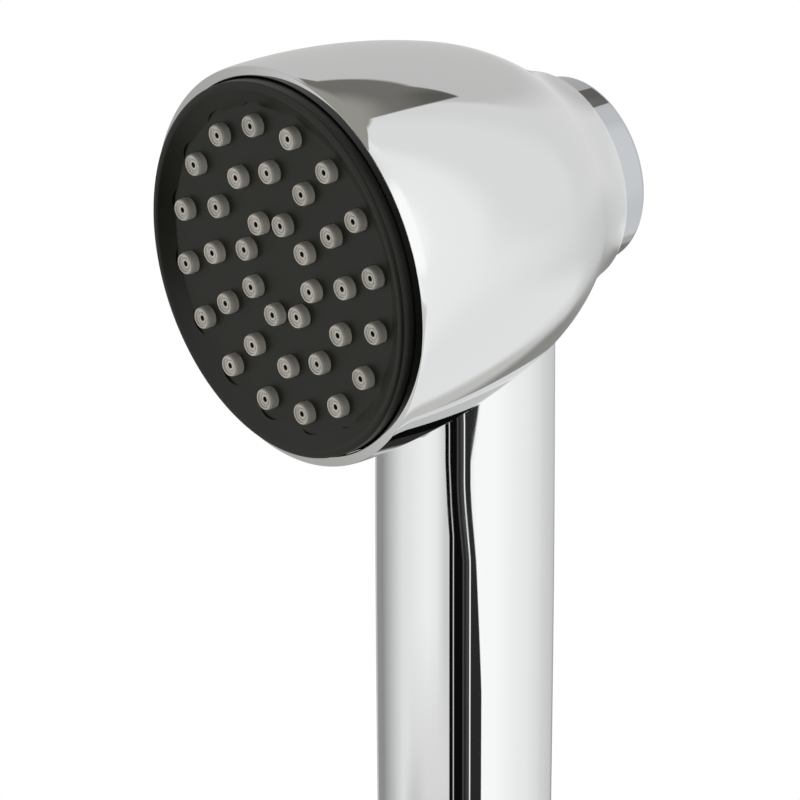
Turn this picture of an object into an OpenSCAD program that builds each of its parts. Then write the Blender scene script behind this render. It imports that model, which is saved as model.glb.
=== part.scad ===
// Handheld bath sprayer: a bell-shaped head with a nozzle face, a push button in its back
// and a tubular handle with a threaded inlet. Millimetres, +Z up the handle.
// The origin is the centre of the inlet's end, on the handle's axis, and the face looks to -Y.

/* [Head] */
// Height of the point where the head's axis crosses the handle's axis
head_height = 175; // [160:1:200]
// Angle that the face looks down, below the horizontal
head_tilt = 10; // [8:0.5:12]
// Depth of the handle's axis behind the nozzle tips
axis_depth = 38.6; // [38:0.1:39]
// Largest radius of the bell
bell_r = 31.5; // [31.4:0.05:31.6]
// Depth of the largest radius behind the nozzle tips
bell_r_depth = 5; // [4.5:0.1:5.2]
// Radius of the long arc along the front of the bell's side
front_arc_r = 110; // [108:1:114]
// Radius of the tighter arc along the back of the bell's side
rear_arc_r = 42; // [41.5:0.1:43]
// Radius of the hollow arc that leads from the bell into the collar
neck_arc_r = 25.5; // [25:0.1:26.5]
// Wall thickness of the bell
shell_wall = 2.3; // [2:0.1:2.5]
// Depth of the rear end of the collar round the button
collar_end = 57; // [56.9:0.05:57.1]

/* [Face] */
// Radius of the black face plate
plate_r = 29.5; // [29.3:0.05:29.55]
// Radius of the flat middle of the face plate
plate_flat_r = 25.4; // [25:0.1:25.8]
// Depth of the flat middle behind the nozzle tips
plate_flat_depth = 1.6; // [1.4:0.1:1.8]
// Radius of a nozzle
nozzle_r = 1.75; // [1.6:0.05:1.8]
// Radius of the water hole in a nozzle
nozzle_hole_r = 0.45; // [0.3:0.05:0.6]
// Radius of the outer ring of nozzles
outer_ring_r = 22.5; // [22:0.1:23]
// Angle of the first nozzle in every ring, from straight up towards +X
nozzle_phase = -25.8; // [-30:0.1:0]

/* [Push button and valve] */
// Radius of the push button
button_r = 15; // [14.9:0.05:15.1]
// Depth at which the button's side ends in its rounded edge
button_side_end = 62; // [61.8:0.1:62.5]
// Height of the button's slightly domed back over its side's end
button_crown = 2.1; // [1.8:0.1:2.5]
// Travel of the push button
button_travel = 4; // [3:0.1:4]
// Radius of the valve stem
stem_r = 2.5; // [2.3:0.1:2.5]
// Radial clearance of the stem in the gland nut
stem_clearance = 0.05; // [0.03:0.01:0.08]

/* [Handle] */
// Outer diameter of the handle under the head
handle_top_d = 28; // [27.8:0.1:28.4]
// Outer diameter of the handle at its lower end
handle_low_d = 26.8; // [26.6:0.1:27.6]
// Radius of the handle's bore
handle_bore_r = 11.7; // [11.6:0.1:11.8]
// Distance under the head's axis at which the taper begins
taper_drop = 45; // [42:1:48]
// Length of the straight seat at the handle's lower end
seat_length = 22; // [20:1:24]

/* [Inlet] */
// Outer diameter of the inlet's pipe thread
thread_d = 20.955; // [20.8:0.005:21]
// Pitch of the thread
thread_pitch = 1.814; // [1.81:0.001:1.82]
// Height of the flange that closes the handle's lower end
flange_height = 3; // [2.5:0.1:3]
// Lift of the check valve's poppet
poppet_lift = 2.5; // [2:0.1:2.5]

/* [Hidden] */
$fn = 96;
cut = 0.5;                              // how far a cutting shape runs past what it cuts

// Rings of nozzles, from the outside in
nozzle_counts = [16, 12, 8];
ring_shares = [1, 0.686, 0.342];
nozzle_radii = [for (share = ring_shares) share * outer_ring_r];
nozzle_gap = 0.1;                       // clearance round a nozzle in the face plate
tip_recess_r = 1.2;
tip_recess = 0.2;

// Bell outline, as depth behind the nozzle tips
lip_depth = 2.3;                        // foremost edge of the bell's flat lip
lip_crest_r = bell_r - 0.2;
lip_ring_r = 29.75;                     // inner edge of the lip, round the face plate
lip_ring_depth = 2.9;
lip_round = 0.2;
lip_in_r = 30.05;                       // wall beside the face plate's skirt
lip_in_depth = 3.3;
lip_end = 5.2;                          // where the lip's rounding meets the front arc
rear_start = 37;                        // where the front arc gives way to the rear arc
neck_start = 49;                        // where the rear arc gives way to the hollow arc
collar_round = 0.4;
neck_end = collar_end - collar_round;
collar_bore_r = button_r + 0.25;
lip_steps = 5;
lip_step = 90 / lip_steps;
arc_steps = 9;
neck_steps = 6;

// Rounded rim of the face plate
plate_rim = 0.8;
plate_rim_depth = 0.5;
plate_rim_rise = 0.45;

// Inside of the head, as depth behind the nozzle tips
plate_back = 3.6;
mat_back = 5;
cavity_back = 9;
chamber_wall_back = 11;
skirt_end = 13;
chamber_flange = 13.5;
hub_front = 14;
gasket_front = 15.5;
ledge = 16.5;
ledge_back = 18.5;
body_front = 20;
seat_front = 26;
seat_back = 28;
gland_front = 44.5;
web_front = 47.5;
web_back = 50;
gland_back = 51.5;

// Radii inside the head
skirt_in_r = 27.4;
chamber_r = 27.3;
cavity_r = 25.2;
chamber_flange_r = 29.6;
ledge_r = 27;
hub_r = 10.5;
hub_bore_r = 8.5;
body_r = 12.5;
body_neck_r = 10.8;
web_hole_r = 11;
outlet_r = 6.7;
seat_ring_r = 8;
seat_r = 4;
pressure_r = 8;
gland_r = 9.5;
gland_flange_r = 12.6;
water_bore_r = 5.5;
nipple_r = 8;
boss_r = 10.2;
water_way_top = head_height - 4;
nipple_gap = 0.2;                       // clearance round the nipple in the spigot
mat_gap = 0.1;                          // clearance round the nozzle mat in the skirt

// Seals of the valve
ring_cord_r = 0.9;                      // cord of the larger rings
ring_groove_w = 2.2;
body_groove_front = 15.6;
body_groove_w = 1.6;
body_groove_depth = 1.05;
body_ring_r = 0.51;
gland_groove_front = 47;
stem_seal_r = 0.85;
stem_seal_gap = 0.03;
seal_pocket_r = 4.3;
seal_pocket_back = 46.5;

// Push button and its spring
button_side_start = 54.3;
button_wall = 2;
button_round = 0.9;
button_inside = 60.8;
button_boss_r = 4.2;
button_boss_front = gland_back + button_travel + 0.05;
stem_front = 22.4;
stem_end = 59.5;
disc_r = 5.6;
disc_front = 24.2;
disc_gap = 0.05;
disc_cup = 0.2;                         // how far the stem's foot stands out past the disc
return_coil_r = 7.2;
return_wire_r = 0.5;

// Heights along the handle
thread_crests = 7;
crest_width = 0.4;
flank_width = 0.6;
root_width = thread_pitch - crest_width - 2 * flank_width;
thread_depth = 1.162;
thread_r = thread_d / 2;
flange_low = 13;
handle_low = flange_low + flange_height;
taper_low = handle_low + seat_length;
taper_top = head_height - taper_drop;
taper_steps = 10;
boss_low = head_height - 18;            // foot of the valve body's side boss
spigot_low = head_height - 42;          // foot of the bell's spigot inside the handle
spigot_r = 11.65;
washer_low = spigot_low - 0.8;
nipple_flange_low = washer_low - 3;
nipple_low = spigot_low - 18;
nipple_top = head_height - 9.5;
nipple_flange_r = 11.2;
nipple_socket_r = 9;

// Pipe between the inlet and the nipple
pipe_r = 5.9;
pipe_bore_r = 4.6;
pipe_socket_r = 6;
pipe_low = 26;
pipe_high = nipple_low + 13;
connector_top = 40;
connector_groove_low = 22;
nipple_groove_low = nipple_top - 4;
nipple_groove_w = 2.1;
nipple_groove_depth = 1.5;
nipple_ring_r = 0.72;
ring_pocket_r = pipe_r + 2 * ring_cord_r;
ring_pocket = 2.4;

// Check valve in the inlet
cartridge_bore_r = 7.6;
cartridge_stop = 20;
screen_low = 1;
screen_height = 0.6;
screen_r = 7.55;
screen_hole_r = 0.6;
screen_pitch = 1.9;
screen_rings = 3;
housing_low = 3;
housing_high = 18;
housing_r = 7.5;
housing_in_r = 6.2;
housing_groove_low = 5;
housing_groove_w = 1.7;
housing_groove_depth = 1.1;
housing_ring_r = 0.55;
check_seat = 8;
check_seat_r = 4.5;
spider_low = 15.5;
spider_hub_r = 2.4;
poppet_stem_r = 1.2;
poppet_gap = 0.1;
poppet_boss_r = 3.8;
poppet_ring_r = 0.55;
poppet_disc_low = check_seat + 2 * poppet_ring_r + 0.05;
poppet_disc_high = poppet_disc_low + 1.2;
poppet_disc_r = 5.2;
poppet_low = 7.2;
poppet_high = cartridge_stop - poppet_lift - 0.9;
check_coil_r = 3.3;
check_wire_r = 0.22;

// Coil springs
coil_sides = 8;
coil_steps = 20;                        // rings in one turn
coil_turns = 6;
end_turns = 1;                          // closed turns at each end
closed_pitch = 2.1;                     // pitch of a closed turn, in radii of the wire

chrome = "gainsboro";
brass = "goldenrod";
steel = "lightsteelblue";
seal_rubber = "#303030";

// Places its children in the head: +Z runs back from the nozzle tips, +Y down, +X to the side
module in_head() {
    translate([0, 0, head_height])
        rotate([head_tilt - 90, 0, 0])
            translate([0, 0, -axis_depth])
                children();
}

module rod(r, from, to) {
    translate([0, 0, from])
        cylinder(r = r, h = to - from);
}

module tube(r, bore_r, from, to) {
    difference() {
        rod(r, from, to);
        rod(bore_r, from - cut, to + cut);
    }
}

module seal_ring(centre_r, cord_r, at) {
    translate([0, 0, at])
        rotate_extrude()
            translate([centre_r, 0])
                circle(r = cord_r, $fn = 24);
}

module spun(outline) {
    rotate_extrude()
        polygon(outline);
}

// Quarter of an ellipse round centre, from angle a to angle b
function ellipse_arc(centre, size, a, b, steps) =
    [for (i = [0 : steps])
        let (angle = a + (b - a) * i / steps)
        [centre[0] + size[0] * cos(angle), centre[1] + size[1] * sin(angle)]];

// Radius of the bell's outside at a depth: a long arc, a tighter one and a hollow one, all tangent
function arc_r(radius, run) = sqrt(pow(radius, 2) - pow(run, 2));
rear_angle = asin((rear_start - bell_r_depth) / front_arc_r);
rear_start_r = bell_r - front_arc_r * (1 - cos(rear_angle));
neck_angle = asin(sin(rear_angle) + (neck_start - rear_start) / rear_arc_r);
neck_start_r = rear_start_r - rear_arc_r * (cos(rear_angle) - cos(neck_angle));
function front_side(depth) = bell_r - front_arc_r + arc_r(front_arc_r, depth - bell_r_depth);
function rear_side(depth) =
    rear_start_r - rear_arc_r * cos(rear_angle)
        + arc_r(rear_arc_r, depth - rear_start + rear_arc_r * sin(rear_angle));
function neck_side(depth) =
    neck_start_r + neck_arc_r * cos(neck_angle)
        - arc_r(neck_arc_r, depth - neck_start - neck_arc_r * sin(neck_angle));
function bell_outside(depth) =
    depth <= rear_start ? front_side(depth)
    : depth <= neck_start ? rear_side(depth)
    : neck_side(depth);

// Points along the bell's side from one depth to another, the first one left out
function bell_side(from, to, inset, steps) =
    [for (i = [1 : steps])
        let (depth = from + (to - from) * i / steps)
        [bell_outside(depth) - inset, depth]];

neck_end_r = bell_outside(neck_end);

// From the inner edge of the lip round the outside to the rear edge of the collar
bell_outline = concat(
    [[lip_in_r, lip_in_depth], [lip_ring_r, lip_ring_depth]],
    ellipse_arc([lip_ring_r + lip_round, lip_depth + lip_round], [lip_round, lip_round],
        180, 270, lip_steps),
    ellipse_arc([lip_crest_r, lip_end], [bell_outside(lip_end) - lip_crest_r, lip_end - lip_depth],
        270, 360, lip_steps),
    bell_side(lip_end, rear_start, 0, arc_steps),
    bell_side(rear_start, neck_start, 0, arc_steps),
    bell_side(neck_start, neck_end, 0, neck_steps),
    ellipse_arc([neck_end_r - collar_round, neck_end], [collar_round, collar_round],
        lip_step, 90, lip_steps - 1)
);

module head_shell() {
    inside = concat(
        [[collar_bore_r, collar_end], [collar_bore_r, web_back], [web_hole_r, web_back]],
        [[web_hole_r, web_front], [bell_outside(web_front) - shell_wall, web_front]],
        bell_side(web_front, rear_start, shell_wall, neck_steps),
        bell_side(rear_start, ledge_back, shell_wall, neck_steps),
        [[ledge_r, ledge_back], [ledge_r, ledge], [lip_in_r, ledge]]
    );
    color(chrome)
        difference() {
            union() {
                in_head()
                    spun(concat(bell_outline, inside));
                rod(spigot_r, spigot_low, boss_low);
            }
            rod(nipple_r + nipple_gap, spigot_low - cut, boss_low + cut);
        }
}

// Radius of the handle's outside: straight seat, smooth taper, straight top
function smooth(u) = u * u * (3 - 2 * u);
function handle_outside(z) =
    let (u = (taper_top - z) / (taper_top - taper_low))
    handle_top_d / 2 - (handle_top_d - handle_low_d) / 2 * smooth(u);

module handle_tube() {
    taper = [for (i = [0 : taper_steps])
        let (z = taper_low + (taper_top - taper_low) * i / taper_steps)
        [handle_outside(z), z]];
    outside = concat([[handle_low_d / 2, handle_low]], taper, [[handle_top_d / 2, head_height]]);
    inside = [[handle_bore_r, head_height], [handle_bore_r, handle_low]];
    color(chrome)
        difference() {
            spun(concat(outside, inside));
            in_head()
                spun(concat([[0, lip_in_depth]], bell_outline, [[0, collar_end]]));
        }
}

// Puts its children at every nozzle
module at_nozzles() {
    for (ring = [0 : len(nozzle_counts) - 1])
        for (k = [0 : nozzle_counts[ring] - 1])
            rotate([0, 0, nozzle_phase + k * 360 / nozzle_counts[ring]])
                translate([0, -nozzle_radii[ring], 0])
                    children();
}

module face_plate() {
    color("#2d2e2a")
        in_head()
            difference() {
                spun(concat(
                    [[0, plate_flat_depth], [plate_flat_r, plate_flat_depth]],
                    ellipse_arc([plate_r - plate_rim, plate_rim_depth], [plate_rim, plate_rim_rise],
                        180 + lip_step, 360, 2 * lip_steps - 1),
                    [[plate_r, skirt_end], [skirt_in_r, skirt_end]],
                    [[skirt_in_r, plate_back], [0, plate_back]]
                ));
                at_nozzles()
                    rod(nozzle_r + nozzle_gap, -cut, plate_back + cut);
            }
}

module nozzle_mat() {
    color("#96938c")
        in_head()
            difference() {
                union() {
                    rod(chamber_r - mat_gap, plate_back, mat_back);
                    at_nozzles()
                        difference() {
                            rod(nozzle_r, 0, plate_back + cut);
                            rod(tip_recess_r, -cut, tip_recess);
                        }
                }
                at_nozzles()
                    rod(nozzle_hole_r, -cut, mat_back + cut);
            }
}

// Drilled disc on legs that spreads the jet over the back of the nozzle mat
module flow_spreader() {
    spreader_r = 14;
    spreader_front = 6.2;
    spreader_back = 7.2;
    holes = 12;
    hole_r = 1.3;
    hole_ring_r = 9;
    legs = 3;
    leg_r = 1.2;
    leg_ring_r = 12;
    color("white")
        in_head() {
            difference() {
                rod(spreader_r, spreader_front, spreader_back);
                for (k = [0 : holes - 1])
                    rotate([0, 0, k * 360 / holes])
                        translate([hole_ring_r, 0, 0])
                            rod(hole_r, spreader_front - cut, spreader_back + cut);
            }
            for (k = [0 : legs - 1])
                rotate([0, 0, 45 + k * 360 / legs])
                    translate([leg_ring_r, 0, 0])
                        rod(leg_r, spreader_front, cavity_back);
        }
}

module spray_chamber() {
    color("dimgray")
        in_head()
            spun([
                [water_bore_r, cavity_back], [cavity_r, cavity_back], [cavity_r, mat_back],
                [chamber_r, mat_back], [chamber_r, chamber_flange],
                [chamber_flange_r, chamber_flange], [chamber_flange_r, gasket_front],
                [cavity_r, gasket_front], [cavity_r, chamber_wall_back],
                [hub_r, chamber_wall_back], [hub_r, body_front], [hub_bore_r, body_front],
                [hub_bore_r, hub_front], [water_bore_r, hub_front]
            ]);
}

module shell_gasket() {
    color(seal_rubber)
        in_head()
            tube(chamber_flange_r, ledge_r, gasket_front, ledge);
}

module valve_body() {
    color(brass)
        difference() {
            union() {
                in_head() {
                    rod(hub_bore_r, hub_front, body_front + cut);
                    rod(body_r, body_front, web_front);
                    rod(body_neck_r, web_front - cut, web_back);
                }
                rod(boss_r, boss_low, head_height);
            }
            in_head() {
                rod(outlet_r, hub_front - cut, seat_front);
                rod(seat_ring_r, seat_front - cut, seat_back);
                rod(pressure_r, seat_front, gland_front);
                rod(gland_r, gland_front, web_back + cut);
                translate([0, 0, body_groove_front])
                    ring_groove(hub_bore_r, body_groove_w, body_groove_depth);
            }
            rod(water_bore_r, boss_low - cut, water_way_top);
            rod(nipple_r, boss_low - cut, nipple_top);
        }
}

// Groove of a width, cut to a depth into a shaft of radius r
module ring_groove(r, width, depth) {
    difference() {
        rod(r + cut, 0, width);
        rod(r - depth, -cut, width + cut);
    }
}

module body_ring() {
    color(seal_rubber)
        in_head()
            seal_ring(hub_bore_r - body_groove_depth + body_ring_r, body_ring_r,
                body_groove_front + body_groove_w / 2);
}

module seat_ring() {
    color(steel)
        in_head()
            tube(seat_ring_r, seat_r, seat_front, seat_back);
}

module gland_nut() {
    color(brass)
        in_head()
            difference() {
                union() {
                    rod(gland_r, gland_front, web_back + cut);
                    rotate([0, 0, 30])
                        translate([0, 0, web_back])
                            cylinder(r = gland_flange_r, h = gland_back - web_back, $fn = 6);
                }
                rod(stem_r + stem_clearance, gland_front - cut, gland_back + cut);
                rod(seal_pocket_r, gland_front - cut, seal_pocket_back);
                translate([0, 0, gland_groove_front])
                    ring_groove(gland_r, ring_groove_w, 2 * ring_cord_r);
            }
}

module gland_ring() {
    color(seal_rubber)
        in_head()
            seal_ring(gland_r - ring_cord_r, ring_cord_r, gland_groove_front + ring_groove_w / 2);
}

module stem_seal() {
    color(seal_rubber)
        in_head()
            seal_ring(stem_r + stem_seal_gap + stem_seal_r, stem_seal_r,
                (gland_front + seal_pocket_back) / 2);
}

module push_button() {
    edge_sweep = 72;                    // the edge's rounding ends where the dome takes over
    crown_r = button_r - button_round;
    sag = button_crown - button_round;
    dome_r = (pow(crown_r, 2) + pow(sag, 2)) / (2 * sag);
    dome_top = button_side_end + button_crown;
    dome_angle = asin(crown_r / dome_r);
    dome = [for (i = [0 : lip_steps])
        let (angle = dome_angle * (1 - i / lip_steps))
        [dome_r * sin(angle), dome_top - dome_r * (1 - cos(angle))]];
    color(chrome)
        in_head()
            difference() {
                spun(concat(
                    [[0, button_boss_front], [button_boss_r, button_boss_front]],
                    [[button_boss_r, button_inside], [button_r - button_wall, button_inside]],
                    [[button_r - button_wall, button_side_start], [button_r, button_side_start]],
                    ellipse_arc([crown_r, button_side_end], [button_round, button_round],
                        0, edge_sweep, lip_steps - 1),
                    dome
                ));
                rod(stem_r, button_boss_front - cut, stem_end);
            }
}

module valve_stem() {
    color(steel)
        in_head() {
            rod(stem_r, stem_front, stem_end);
            rod(disc_r + disc_cup, stem_front, disc_front);
        }
}

module seat_disc() {
    color(seal_rubber)
        in_head()
            tube(disc_r, stem_r, disc_front, seat_front - disc_gap);
}

// Share of the spring's free height that is reached after a share of its turns
function coil_rise(turn, pitch_end, height) =
    turn < end_turns ? turn * pitch_end
    : turn > coil_turns - end_turns ? height - (coil_turns - turn) * pitch_end
    : end_turns * pitch_end
        + (turn - end_turns) * (height - 2 * end_turns * pitch_end) / (coil_turns - 2 * end_turns);

module coil_spring(coil_r, wire_r, from, to) {
    height = to - from - 2 * wire_r;
    last = coil_turns * coil_steps;
    points = [for (i = [0 : last], j = [0 : coil_sides - 1])
        let (
            along = 360 * i / coil_steps,
            around = 360 * j / coil_sides,
            r = coil_r + wire_r * cos(around),
            rise = coil_rise(i / coil_steps, closed_pitch * wire_r, height)
        )
        [r * cos(along), r * sin(along), from + wire_r + rise + wire_r * sin(around)]];
    sides = [for (i = [0 : last - 1], j = [0 : coil_sides - 1])
        let (next = (j + 1) % coil_sides)
        [i * coil_sides + j, i * coil_sides + next, (i + 1) * coil_sides + next,
            (i + 1) * coil_sides + j]];
    ends = [
        [for (j = [coil_sides - 1 : -1 : 0]) j],
        [for (j = [0 : coil_sides - 1]) last * coil_sides + j]
    ];
    polyhedron(points, concat(sides, ends));
}

module return_spring() {
    color(steel)
        in_head()
            coil_spring(return_coil_r, return_wire_r, gland_back, button_inside);
}

module neck_nipple() {
    color(brass)
        difference() {
            union() {
                rod(nipple_r, washer_low, nipple_top);
                rod(nipple_flange_r, nipple_flange_low, washer_low);
                rod(nipple_socket_r, nipple_low, nipple_flange_low + cut);
            }
            rod(pipe_bore_r, nipple_low, nipple_top + cut);
            rod(pipe_socket_r, nipple_low - cut, pipe_high);
            rod(ring_pocket_r, nipple_low - cut, nipple_low + ring_pocket);
            translate([0, 0, nipple_groove_low])
                ring_groove(nipple_r, nipple_groove_w, nipple_groove_depth);
        }
}

module neck_washer() {
    color("firebrick")
        tube(nipple_flange_r, nipple_r, washer_low, spigot_low);
}

module nipple_ring() {
    color(seal_rubber)
        seal_ring(nipple_r - nipple_groove_depth + nipple_ring_r, nipple_ring_r,
            nipple_groove_low + nipple_groove_w / 2);
}

module water_pipe() {
    color("ivory")
        tube(pipe_r, pipe_bore_r, pipe_low, pipe_high);
}

module pipe_rings() {
    color(seal_rubber) {
        seal_ring(pipe_r + ring_cord_r, ring_cord_r, connector_top - ring_pocket / 2);
        seal_ring(pipe_r + ring_cord_r, ring_cord_r, nipple_low + ring_pocket / 2);
    }
}

// Ring-shaped crests stand for the turns of the pipe thread
module inlet_connector() {
    root_r = thread_r - thread_depth;
    turns = [for (k = [0 : thread_crests - 1], corner = [
            [thread_r, 0], [thread_r, crest_width],
            [root_r, crest_width + flank_width], [root_r, crest_width + flank_width + root_width]
        ])
        [corner[0], corner[1] + k * thread_pitch]];
    outside = [
        [root_r, flange_low], [handle_low_d / 2, flange_low], [handle_low_d / 2, handle_low],
        [spigot_r, handle_low], [spigot_r, connector_top]
    ];
    inside = [
        [ring_pocket_r, connector_top], [ring_pocket_r, connector_top - ring_pocket],
        [pipe_socket_r, connector_top - ring_pocket], [pipe_socket_r, pipe_low],
        [pipe_bore_r, pipe_low], [pipe_bore_r, cartridge_stop],
        [cartridge_bore_r, cartridge_stop], [cartridge_bore_r, 0]
    ];
    color(chrome)
        difference() {
            spun(concat(turns, outside, inside));
            translate([0, 0, connector_groove_low])
                ring_groove(spigot_r, ring_groove_w, 2 * ring_cord_r);
        }
}

module connector_ring() {
    color(seal_rubber)
        seal_ring(spigot_r - ring_cord_r, ring_cord_r, connector_groove_low + ring_groove_w / 2);
}

module inlet_screen() {
    color(steel)
        difference() {
            rod(screen_r, screen_low, screen_low + screen_height);
            rod(screen_hole_r, screen_low - cut, screen_low + screen_height + cut);
            for (ring = [1 : screen_rings])
                for (k = [0 : 6 * ring - 1])
                    rotate([0, 0, 60 * k / ring])
                        translate([screen_pitch * ring, 0, 0])
                            rod(screen_hole_r, screen_low - cut, screen_low + screen_height + cut);
        }
}

// Barrel with the seat for the poppet, and a three-armed guide for its stem
module check_housing() {
    groove_r = housing_r - housing_groove_depth;
    groove_high = housing_groove_low + housing_groove_w;
    arms = 3;
    arm_w = 1.4;
    arm_from = spider_hub_r - cut;
    arm_to = housing_in_r + cut;
    color("white")
        difference() {
            union() {
                spun([
                    [housing_r, housing_low], [housing_r, housing_groove_low],
                    [groove_r, housing_groove_low], [groove_r, groove_high],
                    [housing_r, groove_high], [housing_r, housing_high],
                    [housing_in_r, housing_high], [housing_in_r, check_seat],
                    [check_seat_r, check_seat], [check_seat_r, housing_low]
                ]);
                rod(spider_hub_r, spider_low, housing_high);
                for (k = [0 : arms - 1])
                    rotate([0, 0, k * 360 / arms])
                        translate([arm_from, -arm_w / 2, spider_low])
                            cube([arm_to - arm_from, arm_w, housing_high - spider_low]);
            }
            rod(poppet_stem_r + poppet_gap, spider_low - cut, housing_high + cut);
        }
}

module housing_ring() {
    color(seal_rubber)
        seal_ring(cartridge_bore_r - housing_ring_r, housing_ring_r,
            housing_groove_low + housing_groove_w / 2);
}

module check_poppet() {
    color("steelblue") {
        rod(poppet_boss_r, poppet_low, poppet_disc_high);
        rod(poppet_disc_r, poppet_disc_low, poppet_disc_high);
        rod(poppet_stem_r, poppet_disc_low, poppet_high);
    }
}

module poppet_ring() {
    color(seal_rubber)
        seal_ring(poppet_boss_r + poppet_ring_r, poppet_ring_r, poppet_disc_low - poppet_ring_r);
}

module check_spring() {
    color(steel)
        coil_spring(check_coil_r, check_wire_r, poppet_disc_high, spider_low);
}

head_shell();
handle_tube();
face_plate();
nozzle_mat();
flow_spreader();
spray_chamber();
shell_gasket();
valve_body();
body_ring();
seat_ring();
gland_nut();
gland_ring();
stem_seal();
push_button();
valve_stem();
seat_disc();
return_spring();
neck_nipple();
neck_washer();
nipple_ring();
water_pipe();
pipe_rings();
inlet_connector();
connector_ring();
inlet_screen();
check_housing();
housing_ring();
check_poppet();
poppet_ring();
check_spring();
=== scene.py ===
"""Handheld bath sprayer: visible pieces, finishes and studio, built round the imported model.

Metres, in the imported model's frame: +Z up the handle, the nozzle face to -Y and a little down.
"""
import math

import bmesh
import bpy
from bpy.props import FloatProperty, FloatVectorProperty, IntVectorProperty, PointerProperty
from mathutils import Matrix, Vector


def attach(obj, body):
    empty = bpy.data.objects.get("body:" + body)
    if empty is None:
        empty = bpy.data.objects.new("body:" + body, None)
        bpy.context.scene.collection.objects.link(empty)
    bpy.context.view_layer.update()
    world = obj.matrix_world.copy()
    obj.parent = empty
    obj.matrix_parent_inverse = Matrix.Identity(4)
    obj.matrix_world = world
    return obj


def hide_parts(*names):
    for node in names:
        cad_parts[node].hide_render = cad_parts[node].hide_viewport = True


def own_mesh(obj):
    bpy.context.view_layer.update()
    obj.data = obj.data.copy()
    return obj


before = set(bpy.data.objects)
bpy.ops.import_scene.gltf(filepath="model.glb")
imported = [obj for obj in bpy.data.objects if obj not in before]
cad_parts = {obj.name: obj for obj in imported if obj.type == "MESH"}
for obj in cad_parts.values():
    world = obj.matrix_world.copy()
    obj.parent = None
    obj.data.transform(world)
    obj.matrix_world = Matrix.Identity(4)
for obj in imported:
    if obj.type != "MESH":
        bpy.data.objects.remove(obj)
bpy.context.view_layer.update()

bl_info = {
    "name": "Handheld Bath Sprayer",
    "version": (1, 0, 0),
    "blender": (4, 5, 0),
    "location": "3D View > Sidebar > Sprayer",
    "description": "Builds the visible pieces, finishes and studio of a hand sprayer",
    "category": "Object",
}

MM = 0.001
COLUMNS = 288                     # columns of vertices round the head and the handle
CUT = 0.5 * MM                    # how far a cutting shape runs past what it cuts
SAME = 1e-7                       # points nearer than this are one point
CREASE = math.radians(24)         # edges that turn more than this stay sharp


def length(name, description, mm):
    """A length that a user may change, given here in millimetres."""
    return FloatProperty(
        name=name, description=description, default=mm * MM, min=0.0,
        subtype="DISTANCE", unit="LENGTH", precision=5,
    )


def turn(name, description, degrees):
    """An angle that a user may change, given here in degrees."""
    return FloatProperty(
        name=name, description=description, default=math.radians(degrees),
        subtype="ANGLE", unit="ROTATION",
    )


def tint(name, description, colour):
    """A colour that a user may change, in linear red, green and blue."""
    return FloatVectorProperty(
        name=name, description=description, default=colour, size=3, min=0.0, max=1.0,
        subtype="COLOR",
    )


def share(name, description, value):
    """A share from 0 to 1 that a user may change."""
    return FloatProperty(
        name=name, description=description, default=value, min=0.0, max=1.0,
        subtype="FACTOR",
    )


class SprayerHead(bpy.types.PropertyGroup):
    """Sizes of the bell-shaped head; depths run back from the nozzle tips."""

    height: length("Height", "Height at which the head's axis crosses the handle's", 175)
    tilt: turn("Tilt", "Angle that the face looks down", 10)
    axis_depth: length("Axis depth", "Depth of the handle's axis", 38.6)
    bell_r: length("Bell radius", "Largest radius of the bell", 31.5)
    bell_r_depth: length("Widest depth", "Depth of the largest radius", 5)
    front_arc_r: length("Front arc", "Radius of the long arc along the front", 110)
    rear_arc_r: length("Rear arc", "Radius of the tighter arc along the back", 42)
    neck_arc_r: length("Hollow arc", "Radius of the hollow arc that leads into the collar", 25.5)
    rear_start: length("Rear arc's start", "Depth where the rear arc begins", 37)
    neck_start: length("Hollow arc's start", "Depth where the hollow arc begins", 49)
    collar_end: length("Collar's end", "Depth of the collar's rear end", 57)
    wall: length("Wall", "Wall thickness of the bell", 2.3)


class SprayerFace(bpy.types.PropertyGroup):
    """Sizes of the nozzle plate and the nozzles."""

    plate_r: length("Plate radius", "Radius of the nozzle plate", 29.5)
    flat_r: length("Flat radius", "Radius of the plate's flat middle", 25.4)
    flat_depth: length("Flat depth", "Depth of the flat middle behind the nozzle tips", 1.6)
    pocket_r: length("Pocket radius", "Flat pocket round each outer nozzle", 3.6)
    nozzle_r: length("Nozzle radius", "Radius of a nozzle", 1.75)
    hole_r: length("Water hole radius", "Radius of the hole in a nozzle", 0.45)
    ring_r: length("Outer ring radius", "Radius of the outer ring of nozzles", 22.5)
    phase: turn("First nozzle", "Angle of each ring's first nozzle", -25.8)
    counts: IntVectorProperty(
        name="Nozzle counts", description="Nozzles in each ring, from the outside in",
        default=(16, 12, 8), size=3, min=1,
    )


class SprayerButton(bpy.types.PropertyGroup):
    """Sizes of the push button in the back of the head."""

    radius: length("Radius", "Radius of the button", 15)
    side_end: length("Side's end", "Depth where the side meets the rounded edge", 62)
    crown: length("Crown", "Height of the domed back over the side's end", 2.1)
    edge_round: length("Edge", "Radius of the rounded edge", 0.9)


class SprayerHandle(bpy.types.PropertyGroup):
    """Sizes of the tubular handle."""

    top_r: length("Top radius", "Radius under the head", 14)
    low_r: length("Lower radius", "Radius of the straight seat at the lower end", 13.4)
    bore_r: length("Bore radius", "Radius of the handle's bore", 11.7)
    low: length("Lower end", "Height of the handle's lower end", 16)
    taper_low: length("Taper's foot", "Height where the taper begins", 38)
    taper_top: length("Taper's top", "Height where the taper ends", 130)


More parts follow.
